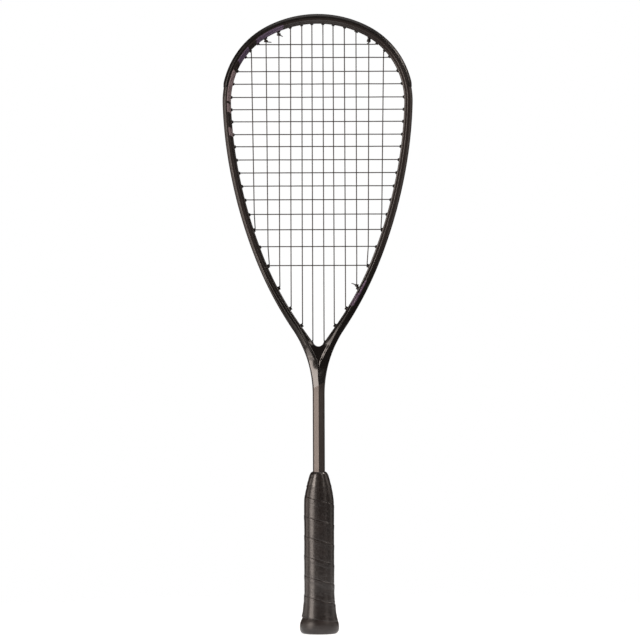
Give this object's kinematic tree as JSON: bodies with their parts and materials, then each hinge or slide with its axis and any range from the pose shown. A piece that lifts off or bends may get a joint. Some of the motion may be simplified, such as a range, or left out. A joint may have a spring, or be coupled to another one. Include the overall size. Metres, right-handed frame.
{
  "type": "squash racket",
  "caption": "Squash racket with a teardrop head, hollow moulded frame, woven strings, bumper guard and a taped octagonal handle.",
  "frame": {"origin": "centre of the flat end face of the butt cap", "axes": "+Z from the butt to the crown of the head, X across the head, -Y is the front face, Y is the thickness"},
  "size_m": [0.2104, 0.038, 0.686],
  "materials": {
    "frame_lacquer": "clear gloss lacquer over a carbon fibre laminate, satin gunmetal at the top of the shaft",
    "guard_nylon": "moulded nylon, semi matt",
    "grommet_nylon": "moulded nylon, semi matt",
    "string": "twisted multifilament with a thin clear coat",
    "handle_foam": "moulded polyurethane foam",
    "butt_plastic": "moulded plastic, satin",
    "staple_steel": "galvanised wire",
    "grip_leather": "smooth synthetic leather, slightly tacky",
    "finishing_tape": "stretched vinyl tape, glossy",
    "collar_rubber": "smooth rubber"
  },
  "bodies": {
    "root": {"frame": "frame_lacquer", "bumper_guard": "guard_nylon", "grommet_strip_left": "grommet_nylon", "grommet_strip_right": "grommet_nylon", "main_string": "string", "cross_string": "string", "handle_foam": "handle_foam", "butt_cap": "butt_plastic", "butt_staples": "staple_steel", "grip_tape": "grip_leather", "finishing_tape": "finishing_tape", "shaft_collar": "collar_rubber"}
  },
  "joints": []
}
